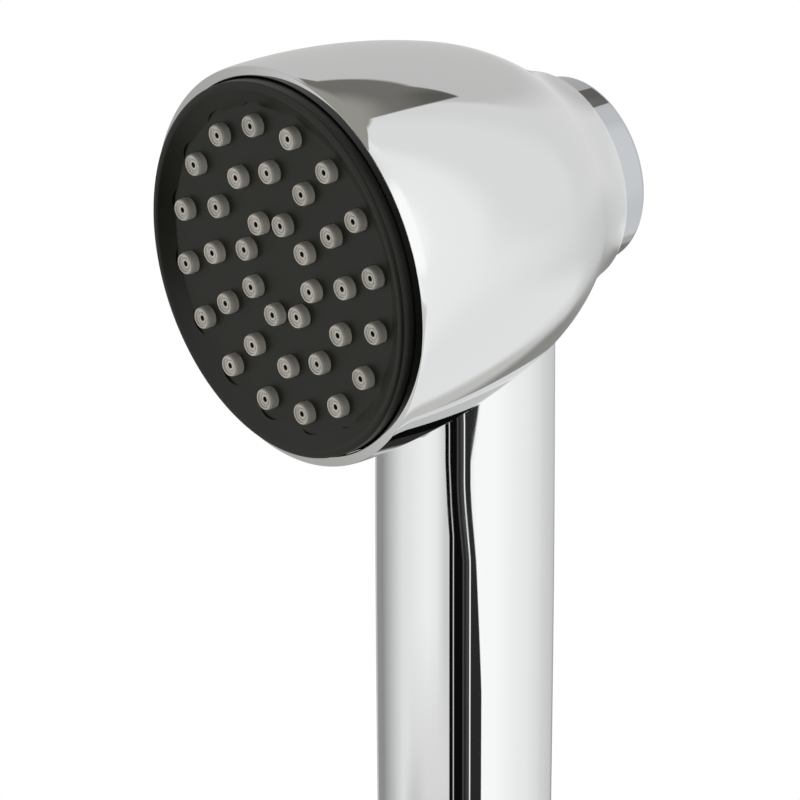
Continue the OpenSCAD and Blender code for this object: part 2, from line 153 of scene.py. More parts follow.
class SprayerInlet(bpy.types.PropertyGroup):
    """Sizes of the threaded inlet."""

    thread_r: length("Thread radius", "Radius of the thread's crests", 10.4775)
    pitch: length("Pitch", "Pitch of the thread", 1.814)
    depth: length("Thread depth", "Depth of the thread", 1.162)
    flange_low: length("Flange's foot", "Height of the flange's lower face", 13)


class SprayerFinish(bpy.types.PropertyGroup):
    """Colours of the finishes."""

    chrome: tint("Chrome", "Plating of the head, handle and inlet", (0.80, 0.81, 0.81))
    # painted reflection: the button's plating is darker than the other chrome, standing in for the
    # darker reflections that the studio's panels do not give it
    cap_painted_dark: tint("Button chrome painted dark", "Darker plating of the push button", (0.56, 0.58, 0.60))
    chrome_polish: share("Chrome roughness", "Roughness of the bare plating", 0.018)
    plate: tint("Face plate", "Black plastic of the nozzle plate", (0.0042, 0.0045, 0.0022))
    # painted shade: a near-black colour for the walls inside the nozzles' holes, which are of the
    # same silicone as the nozzles
    hole: tint("Nozzle hole painted shade", "Unlit inside of the nozzles", (0.010, 0.010, 0.009))
    silicone: tint("Silicone", "Grey silicone of the nozzles", (0.38, 0.362, 0.325))
    brass: tint("Brass", "Valve body, gland nut and nipple", (0.72, 0.52, 0.25))
    steel: tint("Steel", "Stem, seat and inlet screen", (0.62, 0.62, 0.63))
    spring: tint("Spring steel", "Coil springs", (0.60, 0.61, 0.62))
    rubber: tint("Rubber", "Seals and rings", (0.035, 0.035, 0.035))
    white: tint("White plastic", "Flow spreader and check housing", (0.82, 0.82, 0.80))
    grey: tint("Grey plastic", "Spray chamber", (0.14, 0.14, 0.14))
    blue: tint("Blue plastic", "Check poppet", (0.09, 0.22, 0.42))
    pipe: tint("Pipe plastic", "Water pipe in the handle", (0.72, 0.70, 0.64))
    fibre: tint("Red fibre", "Washer under the spigot", (0.42, 0.08, 0.05))


class SprayerStudio(bpy.types.PropertyGroup):
    """Camera and light."""

    azimuth: turn("Azimuth", "Direction of the camera, 0 in front of the face", 49.97)
    elevation: turn("Elevation", "Angle of the camera over the horizon", 9.24)
    distance: length("Distance", "Distance from the camera to its aim", 868.239)
    lens: FloatProperty(
        name="Lens", description="Focal length on a 36 mm sensor", default=258.93,
        min=1.0, subtype="DISTANCE_CAMERA",
    )
    backdrop: tint("Backdrop", "Colour behind the object", (1.0, 1.0, 1.0))
    ambient: tint("Ambient", "Even light from all round on matt surfaces", (0.21, 0.21, 0.21))
    floor: tint("Floor", "Pale floor under the object", (0.86, 0.86, 0.86))


class Sprayer(bpy.types.PropertyGroup):
    """All sizes and colours of the sprayer."""

    head: PointerProperty(type=SprayerHead)
    face: PointerProperty(type=SprayerFace)
    button: PointerProperty(type=SprayerButton)
    handle: PointerProperty(type=SprayerHandle)
    inlet: PointerProperty(type=SprayerInlet)
    finish: PointerProperty(type=SprayerFinish)
    studio: PointerProperty(type=SprayerStudio)


# ---------------------------------------------------------------- shapes

def head_frame(head):
    """Turns (side, down, depth) in the head into the row's frame."""
    down = math.pi / 2 - head.tilt
    c, s = math.cos(down), math.sin(down)
    crossing = Vector((0, -head.axis_depth * s, head.height - head.axis_depth * c))
    turned = Matrix(((1, 0, 0), (0, c, s), (0, -s, c)))
    return Matrix.Translation(crossing) @ turned.to_4x4()


def arc(centre, size, start, end, steps):
    """Points on an ellipse round centre from one angle to another, in degrees."""
    return [
        (centre[0] + size[0] * math.cos(angle), centre[1] + size[1] * math.sin(angle))
        for angle in (math.radians(start + (end - start) * i / steps) for i in range(steps + 1))
    ]


def rounded(outline, size, steps=4):
    """An open outline whose inner corners are rounded to about size."""
    points = [Vector(p) for p in outline]
    result = [outline[0]]
    for before, corner, after in zip(points, points[1:], points[2:]):
        back, ahead = (before - corner), (after - corner)
        reach = min(size, back.length / 2, ahead.length / 2)
        first, last = corner + back.normalized() * reach, corner + ahead.normalized() * reach
        for i in range(steps + 1):
            u = i / steps
            result.append(tuple(first.lerp(corner, u).lerp(corner.lerp(last, u), u)))
    result.append(outline[-1])
    return result


class BellSide:
    """Radius of the bell's outside at a depth: a long arc, a tighter one and a hollow one."""

    def __init__(self, head):
        self.head = head
        self.rear_angle = math.asin((head.rear_start - head.bell_r_depth) / head.front_arc_r)
        self.rear_r = head.bell_r - head.front_arc_r * (1 - math.cos(self.rear_angle))
        run = (head.neck_start - head.rear_start) / head.rear_arc_r
        self.neck_angle = math.asin(math.sin(self.rear_angle) + run)
        drop = math.cos(self.rear_angle) - math.cos(self.neck_angle)
        self.neck_r = self.rear_r - head.rear_arc_r * drop

    def radius(self, depth):
        head = self.head
        if depth <= head.rear_start:
            run = depth - head.bell_r_depth
            return head.bell_r - head.front_arc_r + math.sqrt(head.front_arc_r ** 2 - run ** 2)
        if depth <= head.neck_start:
            run = depth - head.rear_start + head.rear_arc_r * math.sin(self.rear_angle)
            centre = self.rear_r - head.rear_arc_r * math.cos(self.rear_angle)
            return centre + math.sqrt(head.rear_arc_r ** 2 - run ** 2)
        run = depth - head.neck_start - head.neck_arc_r * math.sin(self.neck_angle)
        centre = self.neck_r + head.neck_arc_r * math.cos(self.neck_angle)
        return centre - math.sqrt(head.neck_arc_r ** 2 - run ** 2)

    def points(self, start, end, inset, steps):
        """Points along the side, with the first one left out."""
        depths = (start + (end - start) * i / steps for i in range(1, steps + 1))
        return [(self.radius(depth) - inset, depth) for depth in depths]


def round_turn(columns=COLUMNS):
    """Angles of the columns in one turn."""
    return [math.tau * j / columns for j in range(columns)]


def circle(radius, z, turns):
    """A level ring of points about Z."""
    return [(radius * math.cos(a), radius * math.sin(a), z) for a in turns]


def skin(rows, name):
    """A closed mesh from rings of points; a ring may be a single point on the axis."""
    vertices, rings = [], []
    columns = max(len(row) for row in rows)
    for row in rows:
        first = len(vertices)
        vertices.extend(row)
        rings.append([first] * columns if len(row) == 1 else range(first, first + columns))
    faces = []
    for a, b in zip(rings, rings[1:] + rings[:1]):
        for j in range(columns):
            k = (j + 1) % columns
            corners = list(dict.fromkeys((a[j], a[k], b[k], b[j])))
            if len(corners) > 2:
                faces.append(corners)
    mesh = bpy.data.meshes.new(name)
    mesh.from_pydata(vertices, [], faces)
    return mesh


def spun(name, outline, columns=COLUMNS):
    """A closed solid: a closed outline of (radius, height) points, spun about Z."""
    turns = round_turn(columns)
    rows = [
        [(0.0, 0.0, height)] if radius < SAME else circle(radius, height, turns)
        for radius, height in outline
    ]
    return skin(rows, name)


def rod(radius, low, high, columns=96):
    """A plain rod that other shapes are cut with or joined to."""
    return spun("rod", [(0, low), (radius, low), (radius, high), (0, high)], columns)


def tidy(mesh, crease=CREASE):
    """Outward, welded and smooth, with its real edges left sharp."""
    shape = bmesh.new()
    shape.from_mesh(mesh)
    bmesh.ops.remove_doubles(shape, verts=shape.verts, dist=SAME)
    bmesh.ops.dissolve_degenerate(shape, edges=shape.edges, dist=SAME)
    bmesh.ops.recalc_face_normals(shape, faces=shape.faces)
    shape.to_mesh(mesh)
    shape.free()
    mesh.shade_smooth()
    mesh.set_sharp_from_angle(angle=crease)
    return mesh


def combined(meshes):
    """One mesh of several that don't touch."""
    shape = bmesh.new()
    for mesh in meshes:
        shape.from_mesh(mesh)
        bpy.data.meshes.remove(mesh)
    result = bpy.data.meshes.new("combined")
    shape.to_mesh(result)
    shape.free()
    return result


def carved(mesh, tool, operation="DIFFERENCE"):
    """The mesh with the tool cut away from it, or joined on to it."""
    pair = [bpy.data.objects.new("blank", tidy(mesh)), bpy.data.objects.new("tool", tidy(tool))]
    for item in pair:
        bpy.context.scene.collection.objects.link(item)
    cut = pair[0].modifiers.new("cut", "BOOLEAN")
    cut.operation, cut.object, cut.solver = operation, pair[1], "EXACT"
    made = pair[0].evaluated_get(bpy.context.evaluated_depsgraph_get())
    result = bpy.data.meshes.new_from_object(made)
    result.materials.clear()
    for item in pair:
        data = item.data
        bpy.data.objects.remove(item)
        bpy.data.meshes.remove(data)
    return result


def place(name, mesh, body, slot, material, *nodes, inner=None):
    """Puts a finished piece on its body, in the place of its nodes."""
    mesh.name = name
    mesh.materials.append(material)
    if inner:
        mesh.materials.append(inner)
    piece = bpy.data.objects.new(name, mesh)
    bpy.context.scene.collection.objects.link(piece)
    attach(piece, body)
    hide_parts(*nodes)
    return piece


def nozzle_places(face):
    """Place of every nozzle: its ring, and its (side, down) position on the face."""
    shares = (1.0, 0.686, 0.342)
    for ring, (count, part) in enumerate(zip(face.counts, shares)):
        for k in range(count):
            angle = face.phase + k * math.tau / count
            radius = face.ring_r * part
            yield ring, radius * math.sin(angle), -radius * math.cos(angle)


# ---------------------------------------------------------------- shader helpers

class Graph:
    """Nodes of one tree, added from left to right."""

    def __init__(self, tree):
        self.tree = tree
        self.tree.nodes.clear()

    def add(self, kind, inputs=None, **settings):
        """A new node with its settings, its inputs linked or set."""
        node = self.tree.nodes.new(kind)
        node.location = (180 * len(self.tree.nodes), 0)
        for key, value in settings.items():
            setattr(node, key, value)
        for key, value in (inputs or {}).items():
            self.feed(node.inputs[key], value)
        return node

    def feed(self, socket, value):
        """Links a socket to the value where it is one, and sets it otherwise."""
        if isinstance(value, bpy.types.NodeSocket):
            self.tree.links.new(value, socket)
        else:
            socket.default_value = value

    def math(self, operation, *values, clamp=False):
        node = self.add("ShaderNodeMath", operation=operation, use_clamp=clamp)
        for socket, value in zip(node.inputs, values):
            self.feed(socket, value)
        return node.outputs[0]

    def ramp(self, value, low, high, out_low=0.0, out_high=1.0, smooth=True):
        """The value from low to high, eased into out_low to out_high."""
        node = self.add(
            "ShaderNodeMapRange",
            {"Value": value, "From Min": low, "From Max": high,
             "To Min": out_low, "To Max": out_high},
            interpolation_type="SMOOTHSTEP" if smooth else "LINEAR",
        )
        return node.outputs["Result"]

    def mix(self, factor, a, b):
        """Colour a where the factor is 0, and b where it is 1."""
        node = self.add("ShaderNodeMix", data_type="RGBA")
        colour_a, colour_b, result = node.inputs[6], node.inputs[7], node.outputs[2]
        self.feed(node.inputs["Factor"], factor)
        self.feed(colour_a, a)
        self.feed(colour_b, b)
        return result

    def noise(self, vector, scale, detail=2.0, roughness=0.5):
        node = self.add(
            "ShaderNodeTexNoise",
            {"Vector": vector, "Scale": scale, "Detail": detail, "Roughness": roughness},
        )
        return node.outputs["Fac"]


def rgba(colour, factor=1.0):
    """A colour with its alpha, made lighter or darker by a factor."""
    return (*[min(1.0, channel * factor) for channel in colour], 1.0)


def effect(name, inputs, outputs):
    """A shader node group with named inputs and outputs, built once."""
    tree = bpy.data.node_groups.new(name, "ShaderNodeTree")
    for label, default in inputs.items():
        kind = "NodeSocketVector" if isinstance(default, tuple) else "NodeSocketFloat"
        socket = tree.interface.new_socket(label, in_out="INPUT", socket_type=kind)
        socket.default_value = default
    for label in outputs:
        tree.interface.new_socket(label, in_out="OUTPUT", socket_type="NodeSocketFloat")
    graph = Graph(tree)
    return graph, graph.add("NodeGroupInput").outputs, graph.add("NodeGroupOutput").inputs


def plating_haze():
    """Faint wiping marks and waviness of polished plating."""
    graph, given, out = effect(
        "Plating Haze", {"Polish": 0.02, "Haze": 0.015, "Mark Size": 90.0}, ("Roughness", "Height")
    )
    where = graph.add("ShaderNodeTexCoord").outputs["Object"]
    cloud = graph.noise(where, given["Mark Size"], 4.0, 0.6)
    marks = graph.ramp(cloud, 0.45, 0.75)
    rough = graph.math("MULTIPLY_ADD", marks, given["Haze"], given["Polish"])
    graph.feed(out["Roughness"], rough)
    graph.feed(out["Height"], graph.noise(where, 35.0, 1.0))


def moulded_grain():
    """Fine grain of a moulded surface, with slow changes of shade."""
    graph, given, out = effect(
        "Moulded Grain", {"Grain": 2500.0, "Rough": 0.4, "Spread": 0.08},
        ("Shade", "Roughness", "Height"),
    )
    where = graph.add("ShaderNodeTexCoord").outputs["Object"]
    grain = graph.noise(where, given["Grain"], 3.0, 0.6)
    cloud = graph.noise(where, 140.0, 3.0)
    graph.feed(out["Shade"], graph.ramp(cloud, 0.3, 0.7))
    rough = graph.math("MULTIPLY_ADD", cloud, given["Spread"], given["Rough"])
    graph.feed(out["Roughness"], rough)
    graph.feed(out["Height"], grain)


def turned_lines():
    """Fine lines of a turned or drawn metal, with a little tarnish."""
    graph, given, out = effect(
        "Turned Lines", {"Lines": 9000.0, "Rough": 0.25}, ("Tarnish", "Roughness", "Height")
    )
    where = graph.add("ShaderNodeTexCoord").outputs["Object"]
    stretch = graph.add(
        "ShaderNodeMapping", {"Vector": where, "Scale": (0.02, 0.02, 1.0)}
    ).outputs[0]
    lines = graph.noise(stretch, given["Lines"], 2.0)
    cloud = graph.noise(where, 160.0, 4.0)
    graph.feed(out["Tarnish"], graph.ramp(cloud, 0.45, 0.75))
    graph.feed(out["Roughness"], graph.math("MULTIPLY_ADD", cloud, 0.15, given["Rough"]))
    graph.feed(out["Height"], lines)


def dust_specks():
    """Sparse pale specks of dust."""
    graph, given, out = effect("Dust Specks", {"Spacing": 500.0, "Amount": 0.1}, ("Specks",))
    where = graph.add("ShaderNodeTexCoord").outputs["Object"]
    cells = graph.add("ShaderNodeTexVoronoi", {"Vector": where, "Scale": given["Spacing"]})
    chance = graph.add("ShaderNodeSeparateColor", {"Color": cells.outputs["Color"]}).outputs[0]
    chosen = graph.math("LESS_THAN", chance, given["Amount"])
    near = graph.ramp(cells.outputs["Distance"], 0.09, 0.05)
    graph.feed(out["Specks"], graph.math("MULTIPLY", chosen, near))


def grouped(graph, name, **values):
    """A group placed in a material with its own values."""
    node = graph.add("ShaderNodeGroup", node_tree=bpy.data.node_groups[name])
    for label, value in values.items():
        graph.feed(node.inputs[label.replace("_", " ")], value)
    return node.outputs


def surface(name, colour, metallic, roughness, **constants):
    """A material with one Principled shader, and the graph to dress it with."""
    material = bpy.data.materials.new(name)
    material.use_nodes = True
    graph = Graph(material.node_tree)
    shader = graph.add(
        "ShaderNodeBsdfPrincipled",
        {"Base Color": rgba(colour), "Metallic": metallic, "Roughness": roughness, **constants},
    )
    graph.add("ShaderNodeOutputMaterial", {"Surface": shader.outputs[0]})
    return material, graph, shader.inputs


def raised(graph, height, strength, distance):
    """A normal from a height."""
    bump = graph.add(
        "ShaderNodeBump", {"Height": height, "Strength": strength, "Distance": distance}
    )
    return bump.outputs[0]


def chrome(name, finish, colour=None, haze=0.012, wave=0.04):
    """Polished chrome plating."""
    material, graph, shader = surface(name, colour or finish.chrome, 1.0, finish.chrome_polish)
    marks = grouped(graph, "Plating Haze", Polish=finish.chrome_polish, Haze=haze)
    graph.feed(shader["Roughness"], marks["Roughness"])
    graph.feed(shader["Normal"], raised(graph, marks["Height"], wave, 0.05 * MM))
    return material


def face_plastic(finish):
    """Black satin plastic with a little dust on it."""
    material, graph, shader = surface(
        "Black face plastic", finish.plate, 0.0, 0.3, **{"Specular IOR Level": 0.36}
    )
    grain = grouped(graph, "Moulded Grain", Grain=3000.0, Rough=0.34, Spread=0.12)
    dust = grouped(graph, "Dust Specks", Spacing=420.0, Amount=0.05)
    shade = graph.mix(grain["Shade"], rgba(finish.plate, 0.85), rgba(finish.plate, 1.15))
    graph.feed(shader["Base Color"], graph.mix(dust["Specks"], shade, rgba(finish.plate, 4.0)))
    graph.feed(shader["Roughness"], grain["Roughness"])
    graph.feed(shader["Normal"], raised(graph, grain["Height"], 0.1, 0.02 * MM))
    return material


def moulded(name, colour, rough, grain_size=2500.0, spread=0.1, bump=0.15):
    """A moulded plastic or rubber."""
    material, graph, shader = surface(name, colour, 0.0, rough)
    grain = grouped(graph, "Moulded Grain", Grain=grain_size, Rough=rough, Spread=spread)
    shade = graph.mix(grain["Shade"], rgba(colour, 0.88), rgba(colour, 1.08))
    graph.feed(shader["Base Color"], shade)
    graph.feed(shader["Roughness"], grain["Roughness"])
    graph.feed(shader["Normal"], raised(graph, grain["Height"], bump, 0.03 * MM))
    return material


def turned(name, colour, rough, lines=9000.0):
    """A turned or drawn metal."""
    material, graph, shader = surface(name, colour, 1.0, rough)
    marks = grouped(graph, "Turned Lines", Lines=lines, Rough=rough)
    shade = graph.mix(marks["Tarnish"], rgba(colour), rgba(colour, 0.78))
    graph.feed(shader["Base Color"], shade)
    graph.feed(shader["Roughness"], marks["Roughness"])
    graph.feed(shader["Normal"], raised(graph, marks["Height"], 0.2, 0.02 * MM))
    return material


# ---------------------------------------------------------------- pieces

def head_mesh(head):
    """The bell with its flat lip, ledge, web, collar and the spigot for the handle."""
    side = BellSide(head)
    lip_in, lip_front, lip_round = 29.75 * MM, 2.276 * MM, 0.2 * MM
    crest, crest_depth, lip_end = head.bell_r - 0.2 * MM, 2.3 * MM, 4.6 * MM
    lip_run, lip_fall = crest - lip_in - lip_round, crest_depth - lip_front
    lip_shares = (0.93, 0.5, 0.07)      # points along the lip, from its inner edge out
    wall_in, wall_start, wall_step = 30.05 * MM, 3.3 * MM, 0.4 * MM
    ledge, ledge_back, ledge_r = 16.5 * MM, 18.5 * MM, 27 * MM
    web_front, web_back, web_r = 47.5 * MM, 50 * MM, 11 * MM
    edge = 0.4 * MM
    bore = 15.25 * MM
    neck_end = head.collar_end - edge
    neck_r = side.radius(neck_end)
    outline = [
        (wall_in, wall_start), (lip_in, wall_start - wall_step),
        *arc((lip_in + lip_round, lip_front + lip_round), (lip_round, lip_round), 180, 270, 8),
        *[(crest - lip_run * u, crest_depth - lip_fall * u) for u in lip_shares],
        *arc((crest, lip_end), (side.radius(lip_end) - crest, lip_end - crest_depth),
             270, 360, 18),
        *side.points(lip_end, head.rear_start, 0, 60),
        *side.points(head.rear_start, head.neck_start, 0, 36),
        *side.points(head.neck_start, neck_end, 0, 28),
        *arc((neck_r - edge, neck_end), (edge, edge), 0, 90, 8)[1:],
        *arc((bore + edge / 2, head.collar_end - edge / 2), (edge / 2, edge / 2), 90, 180, 5),
        (bore, web_back), (web_r, web_back), (web_r, web_front),
        (side.radius(web_front) - head.wall, web_front),
        *side.points(web_front, head.rear_start, head.wall, 16),
        *side.points(head.rear_start, ledge_back, head.wall, 16),
        (ledge_r, ledge_back), (ledge_r, ledge), (wall_in, ledge),
    ]
    bell = spun("bell", outline)
    bell.transform(head_frame(head))
    spigot_low, spigot_top = head.height - 42 * MM, head.height - 18 * MM
    spigot_r, spigot_bore = 11.65 * MM, 8.2 * MM
    bell = carved(bell, rod(spigot_r, spigot_low, spigot_top, 144), "UNION")
    return tidy(carved(bell, rod(spigot_bore, spigot_low - CUT, spigot_top + CUT, 144)))


def saddle_height(head, side, x, y):
    """Height at which a vertical line at (x, y) enters the bell from below."""
    c, s = math.cos(math.pi / 2 - head.tilt), math.sin(math.pi / 2 - head.tilt)
    low, high = head.height - 42 * MM, head.height - 8 * MM
    side_start, side_end = 5.2 * MM, 56 * MM
    halvings = 40
    for _ in range(halvings):
        z = (low + high) / 2
        depth = head.axis_depth + y * s + (z - head.height) * c
        down = y * c - (z - head.height) * s
        if math.hypot(x, down) < side.radius(min(max(depth, side_start), side_end)):
            high = z
        else:
            low = z
    return (low + high) / 2


def handle_mesh(head, handle):
    """The tube: straight seat, smooth taper, and a top cut to the bell's underside."""
    side = BellSide(head)
    turns = round_turn()
    edge = 0.25 * MM
    level_top = 120 * MM                # the rings above this lean into the cut
    level_rings, leaning_rings, cut_rings = 40, 12, 5

    def outer_r(z):
        u = min(1.0, max(0.0, (handle.taper_top - z) / (handle.taper_top - handle.taper_low)))
        return handle.top_r - (handle.top_r - handle.low_r) * u * u * (3 - 2 * u)

    def cut_ring(radius):
        return [(x, y, saddle_height(head, side, x, y)) for x, y, _ in circle(radius, 0, turns)]

    foot = arc((handle.low_r - edge, handle.low + edge), (edge, edge), -90, 0, 4)
    rows = [circle(radius, z, turns) for radius, z in [(handle.bore_r, handle.low), *foot]]
    for i in range(1, level_rings + 1):
        z = handle.low + edge + (level_top - handle.low - edge) * i / level_rings
        rows.append(circle(outer_r(z), z, turns))
    wall = handle.bore_r - handle.top_r
    cut = [cut_ring(handle.top_r + wall * i / (cut_rings - 1)) for i in range(cut_rings)]
    for i in range(1, leaning_rings + 1):
        ring = []
        for a, (_, _, top) in zip(turns, cut[0]):
            z = level_top + (top - level_top) * i / (leaning_rings + 1)
            ring.append((outer_r(z) * math.cos(a), outer_r(z) * math.sin(a), z))
        rows.append(ring)
    return tidy(skin(rows + cut, "tube"))


def plate_mesh(head, face):
    """The nozzle plate: flat middle, sloped and rounded rim, skirt, holes and pockets."""
    rim, rim_depth, rim_rise = 0.8 * MM, 0.5 * MM, 0.45 * MM
    slope_end = 212                     # degrees round the rim, where the slope runs into it
    slope_round, flat_edge, middle_r = 0.18 * MM, 0.4 * MM, 10 * MM
    back, skirt_end, skirt_in = 3.6 * MM, 13 * MM, 27.4 * MM
    gap, pocket_step = 0.1 * MM, 0.01 * MM
    rim_points = arc((face.plate_r - rim, rim_depth), (rim, rim_rise), slope_end, 360, 22)
    slope = rounded(
        [(face.flat_r - flat_edge, face.flat_depth), (face.flat_r, face.flat_depth),
         rim_points[0]],
        slope_round, 5,
    )
    outline = [
        (0, face.flat_depth), (middle_r, face.flat_depth), *slope, *rim_points[1:],
        (face.plate_r, skirt_end), (skirt_in, skirt_end), (skirt_in, back), (0, back),
    ]
    plate = spun("plate", outline)
    holes, pockets = [], []
    for ring, x, y in nozzle_places(face):
        hole = rod(face.nozzle_r + gap, -CUT, back + CUT, 48)
        hole.transform(Matrix.Translation((x, y, 0)))
        holes.append(hole)
        if ring == 0:
            pocket = rod(face.pocket_r, -2 * CUT, face.flat_depth - pocket_step, 64)
            pocket.transform(Matrix.Translation((x, y, 0)))
            pockets.append(pocket)
    for pocket in pockets:
        plate = carved(plate, pocket)
    plate = carved(plate, combined(holes))
    plate.transform(head_frame(head))
    return tidy(plate)


def nozzle_mesh(head, face):
    """The silicone mat with its nozzles; each tip has a rim and a ring round its hole."""
    front, back, mat_r = 3.6 * MM, 5 * MM, 27.2 * MM
    root = front + 0.7 * MM             # the nozzle's foot lies within the mat
    r = face.nozzle_r
    shoulder, shoulder_depth = 0.28 * MM, 0.8 * MM
    rim_in, dish, dish_r, dish_floor = r - 0.40 * MM, 0.32 * MM, 1.04 * MM, 0.36 * MM
    moat_out, moat_in, moat = 0.98 * MM, 0.88 * MM, 0.56 * MM
    boss_r, boss, seat = 0.82 * MM, 0.3 * MM, 0.4 * MM
    mat = rod(mat_r, front, back, 192)
    tip = rounded(
        [(r - shoulder, 0.0), (rim_in, 0.0),
         (r - 0.50 * MM, dish), (dish_r, dish_floor), (moat_out, moat),
         (moat_in, moat), (boss_r, boss), (face.hole_r + 0.02 * MM, boss),
         (face.hole_r, seat), (0.3 * MM, seat)],
        0.1 * MM, 3,
    )
    side = arc((r - shoulder, shoulder_depth), (shoulder, shoulder_depth), 0, -90, 9)
    outline = [(0, root), (r, root), *side[:-1], *tip, (0, seat)]
    tips, holes = [], []
    for _, x, y in nozzle_places(face):
        spot = Matrix.Translation((x, y, 0))
        one = spun("nozzle", outline, 56)
        one.transform(spot)
        tips.append(one)
        hole = rod(face.hole_r, -CUT, back + CUT, 32)
        hole.transform(spot)
        holes.append(hole)
    mat = carved(mat, combined(tips), "UNION")
    mat = carved(mat, combined(holes))
    # the walls of the water holes take the second material, a near-black painted shade for the
    # unlit inside of the holes
    middles = [(x, y) for _, x, y in nozzle_places(face)]
    for wall in mat.polygons:
        near = min(math.hypot(wall.center.x - x, wall.center.y - y) for x, y in middles)
        wall.material_index = 1 if near < face.hole_r * 1.001 else 0
    mat.transform(head_frame(head))
    return tidy(mat, math.radians(35))


def button_mesh(head, button):
    """The hollow push button with its boss, rounded edge and slightly domed back."""
    boss_front, boss_r = 55.55 * MM, 4.2 * MM
    inside, side_start, wall = 60.8 * MM, 54.3 * MM, 2 * MM
    stem_r, stem_end = 2.5 * MM, 59.5 * MM
    crown_r = button.radius - button.edge_round
    sag = button.crown - button.edge_round
    dome_r = (crown_r ** 2 + sag ** 2) / (2 * sag)
    dome_top = button.side_end + button.crown
    dome_angle = math.degrees(math.asin(crown_r / dome_r))
    edge_sweep = 90 - dome_angle
    dome = arc((0, dome_top - dome_r), (dome_r, dome_r), 90 - dome_angle, 90, 24)
    dome[-1] = (0, dome_top)
    outline = [
        (stem_r, stem_end), (stem_r, boss_front), (boss_r, boss_front), (boss_r, inside),
        (button.radius - wall, inside), (button.radius - wall, side_start),
        (button.radius, side_start),
        *arc((crown_r, button.side_end), (button.edge_round, button.edge_round),
             0, edge_sweep, 14),
        *dome, (0, stem_end),
    ]
    mesh = spun("button", outline)
    mesh.transform(head_frame(head))
    return tidy(mesh)


def inlet_mesh(inlet, handle):
    """The inlet: helical pipe thread, flange, grooved spigot and stepped bore."""
    columns, steps = 192, 20
    root, bevel = inlet.thread_r - inlet.depth, 0.3 * MM
    start, end = 0.35 * MM, inlet.flange_low - 1.3 * MM
    run_in, run_out = 0.8 * MM, 0.9 * MM
    root_share, flank_share = 0.1, 0.3  # of the pitch: half the root, and one flank
    turns = round_turn(columns)

    def thread_r(height, angle):
        phase = (height / inlet.pitch - angle / math.tau) % 1.0
        flank = min(1.0, max(0.0, (0.5 - abs(phase - 0.5) - root_share) / flank_share))
        grow = min(1.0, max(0.0, (height - start) / run_in), max(0.0, (end - height) / run_out))
        return root + inlet.depth * flank * grow

    count = int((end - start) / inlet.pitch * steps)
    rows = [circle(root - bevel, 0.0, turns), circle(root, bevel, turns)]
    for i in range(count + 1):
        z = start + (end - start) * i / count
        rows.append([
            (thread_r(z, a) * math.cos(a), thread_r(z, a) * math.sin(a), z) for a in turns
        ])
    edge = 0.25 * MM
    spigot_r, spigot_top = 11.65 * MM, 40 * MM
    groove_low, groove_high, groove_r = 22 * MM, 24.2 * MM, 9.85 * MM
    ring_r, ring_low, pipe_r, pipe_low = 7.7 * MM, 37.6 * MM, 6 * MM, 26 * MM
    throat_r, cartridge_r, cartridge_top = 4.6 * MM, 7.6 * MM, 20 * MM
    outside = [
        (root, inlet.flange_low),
        *arc((handle.low_r - edge, inlet.flange_low + edge), (edge, edge), -90, 0, 4),
        *arc((handle.low_r - edge, handle.low - edge), (edge, edge), 0, 90, 4),
        (spigot_r, handle.low), (spigot_r, groove_low), (groove_r, groove_low),
        (groove_r, groove_high), (spigot_r, groove_high), (spigot_r, spigot_top),
    ]
    inside = [                          # ring's pocket, pipe's socket, throat and cartridge's bore
        (ring_r, spigot_top), (ring_r, ring_low), (pipe_r, ring_low), (pipe_r, pipe_low),
        (throat_r, pipe_low), (throat_r, cartridge_top), (cartridge_r, cartridge_top),
        (cartridge_r, bevel), (cartridge_r + bevel, 0.0),
    ]
    rows.extend(circle(radius, z, turns) for radius, z in outside + inside)
    return tidy(skin(rows, "inlet"))


class PieceOperator:
    """What the operators of the pieces share."""

    bl_options = {"REGISTER"}

    def settings(self, context):
        return context.scene.sprayer


class SPRAYER_OT_effects(PieceOperator, bpy.types.Operator):
    """Build the shared surface effects"""

    bl_idname = "sprayer.effects"
    bl_label = "Surface effects"

    def execute(self, context):
        for build in (plating_haze, moulded_grain, turned_lines, dust_specks):
            build()
        return {"FINISHED"}


class SPRAYER_OT_head(PieceOperator, bpy.types.Operator):
    """Build the chrome bell with its collar and spigot"""

    bl_idname = "sprayer.head"
    bl_label = "Head shell"

    def execute(self, context):
        s = self.settings(context)
        place("bell_head", head_mesh(s.head), "sprayer", "head_chrome",
              chrome("Head chrome", s.finish), "head_shell")
        return {"FINISHED"}


class SPRAYER_OT_handle(PieceOperator, bpy.types.Operator):
    """Build the chrome handle"""

    bl_idname = "sprayer.handle"
    bl_label = "Handle"

    def execute(self, context):
        s = self.settings(context)
        place("handle", handle_mesh(s.head, s.handle), "sprayer", "handle_chrome",
              chrome("Handle chrome", s.finish), "handle_tube")
        return {"FINISHED"}


class SPRAYER_OT_face(PieceOperator, bpy.types.Operator):
    """Build the black nozzle plate"""

    bl_idname = "sprayer.face"
    bl_label = "Face plate"

    def execute(self, context):
        s = self.settings(context)
        place("nozzle_plate", plate_mesh(s.head, s.face), "sprayer", "face_plastic",
              face_plastic(s.finish), "face_plate")
        return {"FINISHED"}


class SPRAYER_OT_nozzles(PieceOperator, bpy.types.Operator):
    """Build the silicone nozzles and their mat"""

    bl_idname = "sprayer.nozzles"
    bl_label = "Nozzles"

    def execute(self, context):
        s = self.settings(context)
        # the second material paints the holes' walls near-black: painted shade
        place("nozzles", nozzle_mesh(s.head, s.face), "sprayer", "nozzle_silicone",
              moulded("Nozzle silicone", s.finish.silicone, 0.38, 1800.0), "nozzle_mat",
              inner=moulded("Nozzle hole painted shade", s.finish.hole, 0.6, 1800.0))
        return {"FINISHED"}


